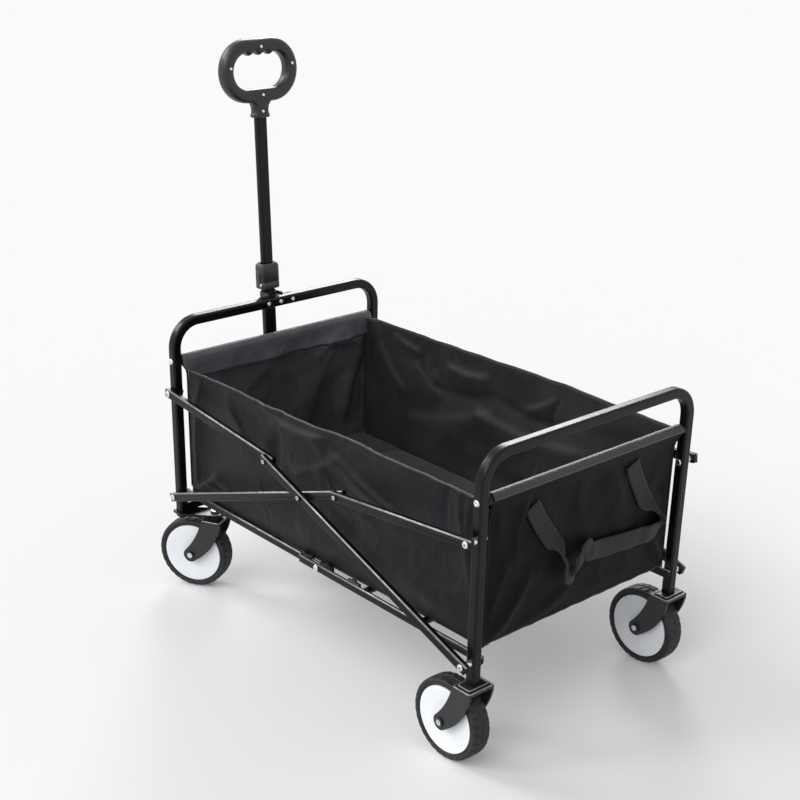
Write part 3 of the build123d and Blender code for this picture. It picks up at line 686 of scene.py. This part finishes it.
def floor_strip(end, side):
    """Padding on an end panel's lip that carries the floor's level on to the panel."""
    start = MID_X + side * (BOARD_END - 0.1 * MM)
    stop = MID_X + side * (PANEL_X - 3 * MM)
    centre = Vector(((start + stop) / 2, 0, 0))
    deep, wide, top = abs(stop - start) / 2, WALL_Y - 3 * MM, BOARD_HIGH.z - 0.2 * MM
    rows = ((PANEL_FOOT + CLOTH / 2, 0), (top - 1.2 * MM, 0), (top - 0.3 * MM, 0.5 * MM), (top, 2 * MM))
    sections = [(height, deep - inset, wide - inset, 4 * MM) for height, inset in rows]
    add_piece(f"floor_strip_{end}", *block(centre, sections), "floor_cloth", f"{end}_frame")


for end, side in ENDS:
    piping(end, side)
    covered_board(end)
    floor_strip(end, side)


def hinge_tie(end, x0, x1, seed):
    """A crumpled cloth tie knotted round a rail beside the floor's hinge, from x0 to x1 millimetres."""
    y = (RAIL_LOW.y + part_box("front_floor_rail_left")[0].y) / 2 + 1.2 * MM
    z = RAIL_HIGH.z + 2.6 * MM
    rows, sides = 26, 20

    def point(i, j):
        share = i / (rows - 1)
        turn = 2 * pi * j / sides
        size = (1.2 + 3.1 * sin(pi * share) ** 0.4) * MM
        size *= 1 + 0.45 * noise.noise(Vector((share * 4, cos(turn) * 1.4 + seed, sin(turn) * 1.4)))
        x = MID_X + (x0 + (x1 - x0) * share) * MM
        drop = 1.5 * MM * sin(3 * pi * share + seed)
        return Vector((x, y + size * 1.3 * cos(turn), z + drop + size * 1.1 * sin(turn)))

    add_piece(f"hinge_tie_{end}", *capped(rows, sides, point), "basket_cloth", f"floor_{end}")


hinge_tie("front", 14, 48, 1.0)
hinge_tie("rear", -36, -4, 4.0)


# a small hook that holds the rear board's cover on the left rail
CLIP = Vector((MID_X - 92 * MM, (RAIL_LOW.y + RAIL_HIGH.y) / 2 - 1 * MM, RAIL_HIGH.z))
clip_base = block(CLIP, in_mm([(0, 15, 3, 1.2), (3, 15, 3, 1.2), (4, 14, 2.4, 1)]))
clip_hook = block(CLIP, in_mm([(3.5, 5, 2.4, 1), (6.4, 6, 2.4, 1), (7.2, 5, 1.8, 0.8)]))
add_piece("board_clip", *joined([clip_base, clip_hook]), "black_plastic", "floor_rear")


# ---- rear strap: two sewn ends and a loose, twisted run between them

STRAP_W = 29.5 * MM
STRAP_T = 1.8 * MM
# along the panel to the left, below the bar, out from the panel, turn about the strap's run
STRAP_LINE = (
    (121, -35, 0.8, 0), (112, -50, 1, 0), (97, -74, 1.6, 0), (80, -99, 3.5, 4), (70, -114, 8, 60),
    (60, -130, 11, 112), (52, -148, 13, 146), (44, -164, 13, 176), (33, -158, 13, 204), (22, -142, 13, 196),
    (10, -135, 12, 182), (-8, -144, 9, 174), (-50, -150, 7, 176), (-108, -154, 6, 182), (-158, -156, 7, 192),
    (-178, -150, 8, 226), (-177, -136, 8, 264), (-162, -122, 6, 300), (-142, -106, 3, 350), (-124, -74, 1.6, 360),
    (-107, -44, 1, 360), (-99, -27, 0.8, 360),
)


def strap():
    """Webbing laid on the rear wall's own folds, with two pinched turns and one crushed loop."""
    face_x = MID_X - PANEL_X - CLOTH / 2
    path = smooth_path([Vector(spot[:3]) for spot in STRAP_LINE], 8)
    rolls = smooth_path([Vector((turn, 0, 0)) for *_, turn in STRAP_LINE], 8)
    cloth = BVHTree.FromPolygons([v.co for v in rear_wall.data.vertices],
                                 [tuple(face.vertices) for face in rear_wall.data.polygons])

    def surface_x(y, z):
        hit = cloth.ray_cast(Vector((face_x - 60 * MM, y, z)), Vector((1, 0, 0)), 90 * MM)[0]
        return hit.x if hit else face_x

    def point(u, v):
        spot = u * (len(path) - 1)
        k = min(int(spot), len(path) - 2)
        here = path[k].lerp(path[k + 1], spot - k)
        along = path[min(k + 2, len(path) - 1)] - path[max(k - 1, 0)]
        run = Vector((-along.z * MM, along.x * MM, along.y * MM)).normalized()
        roll = radians(rolls[k].x + (rolls[k + 1].x - rolls[k].x) * (spot - k))
        across = Matrix.Rotation(roll, 3, run) @ run.cross(Vector((-1, 0, 0))).normalized()
        place_y, place_z = here.x * MM, BAR_Z + here.y * MM
        centre = Vector((surface_x(place_y, place_z) - here.z * MM - STRAP_T / 2, place_y, place_z))
        pinched = exp(-((here.y + 124) / 13) ** 2)
        pinched *= 0.7 if here.x < -120 else 0.5 * (here.x > 55)
        made = centre + across * (v - 0.5) * STRAP_W * (1 - pinched)
        crushed = 9 * MM * exp(-((here.x - 28) / 34) ** 2) * ease((-here.y - 108) / 16)
        made.x -= crushed * (0.2 + abs(ripple(here.x + 40 * v, here.y, 81, 12)))
        made.z += crushed * ripple(here.x, here.y + 30 * v, 82, 15)
        made.y += 0.6 * crushed * ripple(here.x + 25 * v, here.y, 83, 14)
        made.x = min(made.x, surface_x(made.y, made.z) - STRAP_T / 2 - 0.3 * MM)
        return made

    add_piece("pull_strap", *shell(240, 9, point, STRAP_T), "webbing", "rear_frame", stands_for=["rear_strap"])


strap()


# ---- tyres with shoulder lugs

LUGS = 30
LUG_COLUMNS = 12
TYRE_HALF = 17 * MM
BORE_R = 54.6 * MM
BEAD_DROP = 9.5 * MM  # from the tread to the moulded bead on each side


def tyre(end, word):
    node = f"{end}_tyre_{word}"
    low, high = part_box(node)
    joint = joints[f"{end}_wheel_spin_{word}"]
    axis, up = Vector(joint["axis"]), Vector((0, 0, 1))
    across = axis.cross(up).normalized()
    radius = (high.z - low.z) / 2
    bore = (BORE_R - radius) / MM
    # distance across the tyre as a share of its half width, height above the tread, share of lug depth
    section = [(-0.72, bore, 0), (-0.86, bore + 1.6, 0), (-0.95, -9, 0), (-0.985, -6.6, 0), (-1, -5.2, 0),
               (-0.985, -3.4, 0.15), (-0.93, -1.8, 0.45), (-0.84, -0.8, 0.8), (-0.7, -0.35, 1), (-0.55, -0.2, 1),
               (-0.42, -0.1, 0.9), (-0.3, -0.05, 0.35), (-0.18, 0, 0), (-0.1, 0, 0), (-0.06, -1.2, 0), (0, -1.4, 0)]
    section += [(-share, height, lug) for share, height, lug in reversed(section[:-1])]

    def spot(along, turn, reach):
        return Vector(joint["pos_m"]) + axis * along + (across * cos(turn) + up * sin(turn)) * reach

    def point(i, j):
        share, height, lug = section[j]
        pitch = (i / LUG_COLUMNS + (0.5 if share > 0 else 0) + 0.55 * (abs(share) - 0.5)) % 1.0
        groove = lug * ease((0.15 - abs(pitch - 0.5)) / 0.08)
        inset = 0.9 * groove * (abs(share) > 0.9) * (1 if share < 0 else -1)
        return spot(share * TYRE_HALF + inset * MM, 2 * pi * i / (LUGS * LUG_COLUMNS),
                    radius + (height - 2 * groove) * MM)

    verts, faces = lattice(LUGS * LUG_COLUMNS, len(section), point, closed_u=True)
    add_piece(f"tread_{node}", verts, faces, "tyre", f"{end}_wheel_{word}", stands_for=[node])
    for where, share in (("in", -0.94), ("out", 0.94)):
        ring = [spot(share * TYRE_HALF, 2 * pi * k / 96, radius - BEAD_DROP) for k in range(96)]
        add_piece(f"bead_{node}_{where}", *rod(ring, 0.9 * MM, sides=6, closed=True), "tyre", f"{end}_wheel_{word}")


for wheel in WHEELS:
    tyre(*wheel)


# ---- rivets, bolts and screws

HUB_R = 0.02 * MM  # radius at which a head's profile ends, next to its axis


def head(profile, centre, axis, radius, height, segments):
    """A turned head, from (share of its height, share of its radius) spots."""
    return turned([(along * height, max(share * radius, HUB_R)) for along, share in profile], centre, axis, segments)


def rivet(centre, axis, radius=5.3 * MM, height=2.8 * MM):
    """A domed head with a small drilled middle."""
    dome = ((0, 1), (0.35, 0.97), (0.7, 0.8), (0.93, 0.55), (1, 0.3), (0.8, 0.26), (0.72, 0))
    return head(dome, centre, axis, radius, height, 24)


def screw(centre, axis, radius, height):
    """A pan head with a cross recess hinted by a stepped middle."""
    pan = ((0, 1), (0.5, 1), (1, 0.72), (1, 0.4), (0.45, 0.26), (0.4, 0))
    return head(pan, centre, axis, radius, height, 16)


def fasteners(name, heads, body):
    add_piece(name, *joined(heads), "zinc", body)


def painted_shade_dot(name, spot, out, body):
    """A black disc in the drilled middle of a rivet's head: painted shade in its hole."""
    profile = in_mm([(0, 1.5), (0.25, 1.4), (0.3, 0.02)])
    add_piece(name, *turned(profile, spot + out * 2.55 * MM, out, segments=12), "black_plastic", body)


HEAD_THICK = 2.4 * MM
LINK_PAST = 9.5 * MM  # from a pivot to its link's end
LINK_HALF = 7.5 * MM
RAIL_HALF = (RAIL_HIGH.z - RAIL_LOW.z) / 2
SHORT_ARM = 96 * MM  # from the crossing to a long link's upper joint
LONG_TURN = atan2(CROSSING_Z - PIVOT_LOW_Z, HALF_GAP)
JOINT_X, JOINT_Z = SHORT_ARM * cos(LONG_TURN), CROSSING_Z + SHORT_ARM * sin(LONG_TURN)
JOINT_FRONT, JOINT_REAR = Vector((MID_X + JOINT_X, JOINT_Z)), Vector((MID_X - JOINT_X, JOINT_Z))
INNER_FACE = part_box("link_a_left")[1].y
OUTER_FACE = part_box("link_b_left")[1].y - HEAD_THICK
CROSSING_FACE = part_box("link_c_left")[1].y - HEAD_THICK
ROLL = 0.9 * MM  # the rolled edges' middles lie this far inside a bar's outline
RIB_SHORT = 19 * MM  # from a bar's end to its rib's


def bar_trim(name, body, side, face_y, half, start, end):
    """Rolled edges and a shallow rib along the outer face of a flat bar between two (x, z) ends; the upper edge is
    light grey as a painted highlight.
    """
    first, last = [Vector((x, side * face_y, z)) for x, z in (start, end)]
    way = (last - first).normalized()
    up = Vector((-way.z, 0, way.x)) * (1 if way.x > 0 else -1)
    inward = Vector((0, -side, 0))

    def line(offset, radius, sides, short=0.0):
        return rod([first + offset + way * short, last + offset - way * short], radius, sides)

    upper = line(up * (half - ROLL) + inward * ROLL, 1.7 * MM, 12)
    lower = line(up * (ROLL - half) + inward * ROLL, 1.2 * MM, 12)
    rib = line(up * -0.18 * half + inward * 0.4 * MM, 0.8 * MM, 8, RIB_SHORT)
    # upper rolled edge in light grey: a painted highlight
    add_piece(f"edge_{name}", *upper, "black_paint", body, material=EDGE_PAINTED_HIGHLIGHT)
    add_piece(f"rib_{name}", *joined([lower, rib]), "black_paint", body)


LINKS = (("a", FRONT_X, PIVOT_HIGH_Z, JOINT_FRONT, INNER_FACE), ("b", REAR_X, PIVOT_LOW_Z, JOINT_FRONT, OUTER_FACE),
         ("c", FRONT_X, PIVOT_LOW_Z, JOINT_REAR, INNER_FACE), ("d", REAR_X, PIVOT_HIGH_Z, JOINT_REAR, OUTER_FACE))
RIVETS = (("b", *JOINT_FRONT, OUTER_FACE), ("d", *JOINT_REAR, OUTER_FACE), ("c", MID_X, CROSSING_Z, CROSSING_FACE))
for word, side in SIDES:
    out = Vector((0, side, 0))
    for letter, x, z, face_y in RIVETS:
        spot = Vector((x, side * face_y, z))
        fasteners(f"rivet_{letter}_{word}", [rivet(spot, out)], f"link_{letter}_{word}")
        # a black disc in the rivet's hole as painted shade
        painted_shade_dot(f"rivet_dot_{letter}_{word}", spot, out, f"link_{letter}_{word}")
    for letter, x, z, last, face_y in LINKS:
        first = Vector((x, z))
        past = (last - first).normalized() * LINK_PAST
        bar_trim(f"link_{letter}_{word}", f"link_{letter}_{word}", side, face_y, LINK_HALF, first - past, last + past)
    for end, _ in ENDS:
        low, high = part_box(f"{end}_floor_rail_left")
        bar_trim(f"{end}_rail_{word}", f"floor_{end}", side, high.y, RAIL_HALF,
                 (low.x, PIVOT_LOW_Z), (high.x, PIVOT_LOW_Z))
for end, _ in ENDS:
    pin_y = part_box(f"{end}_pivot_pins")[1].y - HEAD_THICK
    heads = []
    for word, side in SIDES:
        out = Vector((0, side, 0))
        for where, z in (("low", PIVOT_LOW_Z), ("high", PIVOT_HIGH_Z)):
            spot = Vector((BARS[end].x, side * pin_y, z))
            heads.append(rivet(spot, out))
            # a black disc in the rivet's hole as painted shade
            painted_shade_dot(f"pin_dot_{end}_{word}_{where}", spot, out, f"{end}_frame")
        heads.append(screw(Vector((BARS[end].x, side * LEG_OUT, BAR_Z + 1 * MM)), out, 5.4 * MM, 2.4 * MM))
    fasteners(f"leg_bolts_{end}", heads, f"{end}_frame")
SCREW_STEP = 27 * MM
fasteners("clip_screws", [screw(Vector((FRONT_X - TUBE / 2, y, HOOP_Z)), (-1, 0, 0), 3.9 * MM, 1.6 * MM)
                          for y in (-SCREW_STEP, 0, SCREW_STEP)], "front_frame")


# ---- grip: a rounded ring with finger waves under its top bar, on a flared neck

POLE_UP = Vector((sin(LEAN), 0, cos(LEAN)))
POLE_BACK = Vector((-cos(LEAN), 0, sin(LEAN)))
GRIP_HALF = 13 * MM  # half its thickness
GRIP_BAR = 11.5 * MM  # half the width of its bar
GRIP_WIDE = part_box("handle_grip")[1].y
GRIP_TOP = (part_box("handle_grip")[1].z - TILT.z - sin(LEAN) * GRIP_HALF) / cos(LEAN)
GRIP_BOW = 53 * MM  # outer radius of its round ends
GRIP_MIDDLE = GRIP_TOP - GRIP_BOW
NECK_FOOT = GRIP_MIDDLE - GRIP_BOW - 26 * MM
WAVE_STEP = 21 * MM
WAVE_DEEP = 5 * MM


def on_pole(back, across, height):
    """A point on the handle: back from the pole's middle, across to the left, and up the pole from its pivot."""
    return TILT + POLE_UP * height + POLE_BACK * back + Vector((0, across, 0))


def pole_loft(foot, rows):
    """A loft up the pole, from rows in millimetres."""
    return loft([(foot + rise, *outline) for rise, *outline in in_mm(rows)], on_pole)


def boxy(value):
    """A sine or cosine pushed outward, for a section between a circle and a square."""
    return abs(value) ** 0.72 * (1 if value > 0 else -1)


def grip_ring():
    straight = GRIP_WIDE - GRIP_BOW
    radius = GRIP_BOW - GRIP_BAR
    arc = pi * radius
    columns, sides = 180, 28

    def centre_line(share):
        """Across, up and the outward direction at a share of the way round, from the top's middle."""
        if share > 0.5:
            across, up, out_y, out_z = centre_line(1 - share)
            return -across, up, -out_y, out_z
        way = share * (4 * straight + 2 * arc)
        if way < straight:
            return way, radius, 0.0, 1.0
        if way < straight + arc:
            turn = (way - straight) / radius
            return straight + radius * sin(turn), radius * cos(turn), sin(turn), cos(turn)
        return 2 * straight + arc - way, -radius, 0.0, -1.0

    def point(i, j):
        across, up, out_y, out_z = centre_line(i / columns)
        turn = 2 * pi * j / sides
        wave = 0.0
        if out_z > 0.99 and abs(across) < 1.5 * WAVE_STEP:
            wave = WAVE_DEEP * (0.5 + 0.5 * cos(2 * pi * across / WAVE_STEP)) * max(0.0, -cos(turn))
        reach = GRIP_BAR * boxy(cos(turn)) - wave
        return on_pole(GRIP_HALF * boxy(sin(turn)), across + out_y * reach, GRIP_MIDDLE + up + out_z * reach)

    return lattice(columns, sides, point, closed_u=True, closed_v=True)


grip_neck = pole_loft(NECK_FOOT, [
    (0, 9, 14, 5), (0.3, 10.4, 15.4, 6), (1.2, 11, 16, 6.5), (5, 11, 16, 6.5), (6.2, 10.6, 15.6, 6.2),
    (6.8, 10, 15, 6), (13, 9.6, 14.6, 6), (20, 9.8, 16, 6.4), (25, 10.4, 19.5, 7), (29, 10.8, 25, 8),
    (33, 10.4, 31, 8), (36, 9, 34, 7)])
add_piece("grip_body", *joined([grip_ring(), grip_neck]), "grip_plastic", "handle_upper", stands_for=["handle_grip"])
GRIP_SCREWS = [on_pole(*spot) for spot in (
    (GRIP_HALF, 0, GRIP_TOP - 13 * MM), (GRIP_HALF, 65 * MM, GRIP_MIDDLE + 8 * MM),
    (GRIP_HALF, -65 * MM, GRIP_MIDDLE + 8 * MM), (GRIP_HALF, 0, GRIP_MIDDLE - 40 * MM),
    (10.2 * MM, 0, NECK_FOOT + 11 * MM))]
# a raised lip round a dark dish in which each screw sits
recess = in_mm([(-0.6, 5.3), (0.35, 5.3), (0.7, 4.9), (0.6, 4.4), (-0.1, 3.9), (-0.1, 0.02)])
add_piece("grip_recesses", *joined([turned(recess, spot, POLE_BACK, segments=28) for spot in GRIP_SCREWS]),
          "grip_plastic", "handle_upper")
fasteners("grip_screws", [screw(spot - POLE_BACK * 0.3 * MM, POLE_BACK, 2.9 * MM, 1.1 * MM) for spot in GRIP_SCREWS],
          "handle_upper")


# ---- locking collar: a moulded block with a rim at its mouth, a split line and a thumb lever

COLLAR_WIDE = 20 * MM
COLLAR_DEEP = 14.5 * MM
COLLAR_TOP = (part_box("handle_collar")[1].z - TILT.z - sin(LEAN) * (COLLAR_DEEP - 3 * MM)) / cos(LEAN)
COLLAR_TALL = 46 * MM


collar_block = pole_loft(COLLAR_TOP - COLLAR_TALL, [
    (0, 13, 18.5, 8), (0.5, 14.1, 19.6, 8.8), (1.4, 14.5, 20, 9), (12, 14.5, 20, 9), (12.4, 14.1, 19.6, 8.7),
    (13, 14.1, 19.6, 8.7), (13.4, 14.5, 20, 9), (40, 14.3, 19.8, 9), (43, 13.6, 19.1, 8.6),
    (44.6, 12.4, 17.9, 8), (45.2, 11.2, 16.7, 7), (45.9, 11, 16.5, 6.8), (45.95, 9.6, 15.1, 6),
    (44.4, 9.2, 14.7, 5.6), (43.6, 7.6, 12.6, 4)])
LEVER_FACE, LEVER_UP = COLLAR_WIDE - 0.6 * MM, COLLAR_TOP - COLLAR_TALL / 2 - 0.5 * MM
lever = loft(in_mm([(0, 6, 10.8, 4.5), (1.6, 6, 10.8, 4.5), (2.6, 5.3, 10.1, 4), (3, 4, 8.8, 3)]),
             lambda back, up, out: on_pole(back, LEVER_FACE + out, LEVER_UP + up))
add_piece("collar_body", *joined([collar_block, lever]), "grey_plastic", "handle_lower", stands_for=["handle_collar"])
fasteners("collar_rivet", [rivet(on_pole(7 * MM, COLLAR_WIDE + 0.1 * MM, COLLAR_TOP - 38 * MM), (0, 1, 0),
                                 radius=2.6 * MM, height=1.2 * MM)], "handle_lower")


# ---- dark rings round the axle bolts, and raised rims on the fork crowns with a painted highlight

AXLE_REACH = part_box("rear_axle_left")[1].y - joints["rear_wheel_spin_left"]["pos_m"][1]


def axle_rings(end, word, body):
    joint = joints[f"{end}_wheel_spin_{word}"]
    centre, axis = Vector(joint["pos_m"]), Vector(joint["axis"])
    profile = in_mm([(-3.2, 7.6), (-0.4, 7.6), (0.4, 7.1), (0.5, 5.6), (0.1, 4.9), (-0.1, 4.9)])
    rings = [turned(profile, centre + side * axis * AXLE_REACH, side * axis) for side in (-1, 1)]
    add_piece(f"axle_rings_{end}_{word}", *joined(rings), "black_plastic", body)


def crown_rims(end, word, body):
    """A rim round a fork's flange and, at the rear, one round the leg's seat, both light grey as a painted highlight.
    """
    flange_back, corner = -1 * MM, 3 * MM
    # half depth, half width, drop below the fork's top, radius
    if end == "rear":
        rims = [(17, 24.5, 2.5, 1.2), (12, 19.5, 0, 0.9)]
        place = Matrix.Translation((REAR_X, dict(SIDES)[word] * LEG_Y, 0))
        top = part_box(f"rear_fork_{word}")[1].z
    else:
        rims = [(17, 24.5, 6.7, 1.2)]
        x, y, _ = joints[f"caster_swivel_{word}"]["pos_m"]
        spin = joints[f"front_wheel_spin_{word}"]["axis"]
        place = Matrix.Translation((x, y, 0)) @ Matrix.Rotation(atan2(-spin[0], spin[1]), 4, "Z")
        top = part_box(f"caster_fork_{word}")[1].z
    parts = [rod([place @ Vector((flange_back + x, y, top - drop)) for x, y in rounded(deep, wide, corner, 3)],
                 radius, closed=True) for deep, wide, drop, radius in in_mm(rims)]
    # rims in light grey: a painted highlight
    add_piece(f"crown_rims_{end}_{word}", *joined(parts), "black_paint", body, material=EDGE_PAINTED_HIGHLIGHT)


for end, word in WHEELS:
    fork_body = "rear_frame" if end == "rear" else f"caster_{word}"
    axle_rings(end, word, fork_body)
    crown_rims(end, word, fork_body)


# ---- floor, light and camera

def stage_floor():
    """A wide pale floor, a little brighter in what the camera and reflections see."""
    size = 60  # metres to each side
    mesh = bpy.data.meshes.new("studio_floor")
    mesh.from_pydata([(-size, -size, 0), (size, -size, 0), (size, size, 0), (-size, size, 0)], [], [(0, 1, 2, 3)])
    floor = bpy.data.objects.new("studio_floor", mesh)
    bpy.context.collection.objects.link(floor)
    look = Look("studio_floor", (0.74, 0.74, 0.745), 0.6, specular=0.0)
    look.shader.inputs["Emission Color"].default_value = (1, 1, 1, 1)
    look.drive("Emission Strength", spread(look.tree, seen_rays(look.tree), 0, 1, 0.0, 0.12))
    mesh.materials.append(look.material)


def towards(heading, height):
    """A direction, from its heading and its height in degrees."""
    heading, height = radians(heading), radians(height)
    return Vector((cos(heading) * cos(height), sin(heading) * cos(height), sin(height)))


def soft_sun(name, heading, height, spread_deg, strength):
    """A wide distant lamp that lights the whole floor evenly."""
    data = bpy.data.lights.new(name, "SUN")
    data.angle, data.energy = radians(spread_deg), strength
    lamp = bpy.data.objects.new(name, data)
    lamp.rotation_euler = (-towards(heading, height)).to_track_quat("-Z", "Y").to_euler()
    bpy.context.collection.objects.link(lamp)


def photo_camera():
    """The photo's view: along a heading and down, with a small roll and the picture shifted up."""
    looked_at, distance = Vector((-107.99, 115.42, 305.76)) * MM, 2341.5 * MM
    back = -towards(-41.97, -24.51)
    turned_to = back.to_track_quat("Z", "Y").to_matrix().to_4x4() @ Matrix.Rotation(radians(1.21), 4, "Z")
    data = bpy.data.cameras.new("camera")
    data.sensor_width, data.lens, data.shift_y = 36, 65.69, 0.125
    camera = bpy.data.objects.new("camera", data)
    camera.matrix_world = Matrix.Translation(looked_at + back * distance) @ turned_to
    bpy.context.collection.objects.link(camera)
    bpy.context.scene.camera = camera


def world(strength):
    """A white backdrop that lights the object at a lower strength."""
    made = bpy.data.worlds.new("studio")
    made.use_nodes = True
    tree = made.node_tree
    background = tree.nodes["Background"]
    background.inputs["Color"].default_value = (1, 1, 1, 1)
    tree.links.new(spread(tree, seen_rays(tree), 0, 1, strength, 0.95), background.inputs["Strength"])
    bpy.context.scene.world = made


stage_floor()
world(0.42)
for name, *setting in (("low_behind", -42, 25, 20, 1.1), ("left_high", 21, 33, 24, 1.1),
                       ("edge_high", 59, 35, 16, 0.6), ("front_fill", 100, 40, 44, 1.3)):
    soft_sun(name, *setting)
photo_camera()
bpy.context.scene.view_settings.view_transform = "Standard"
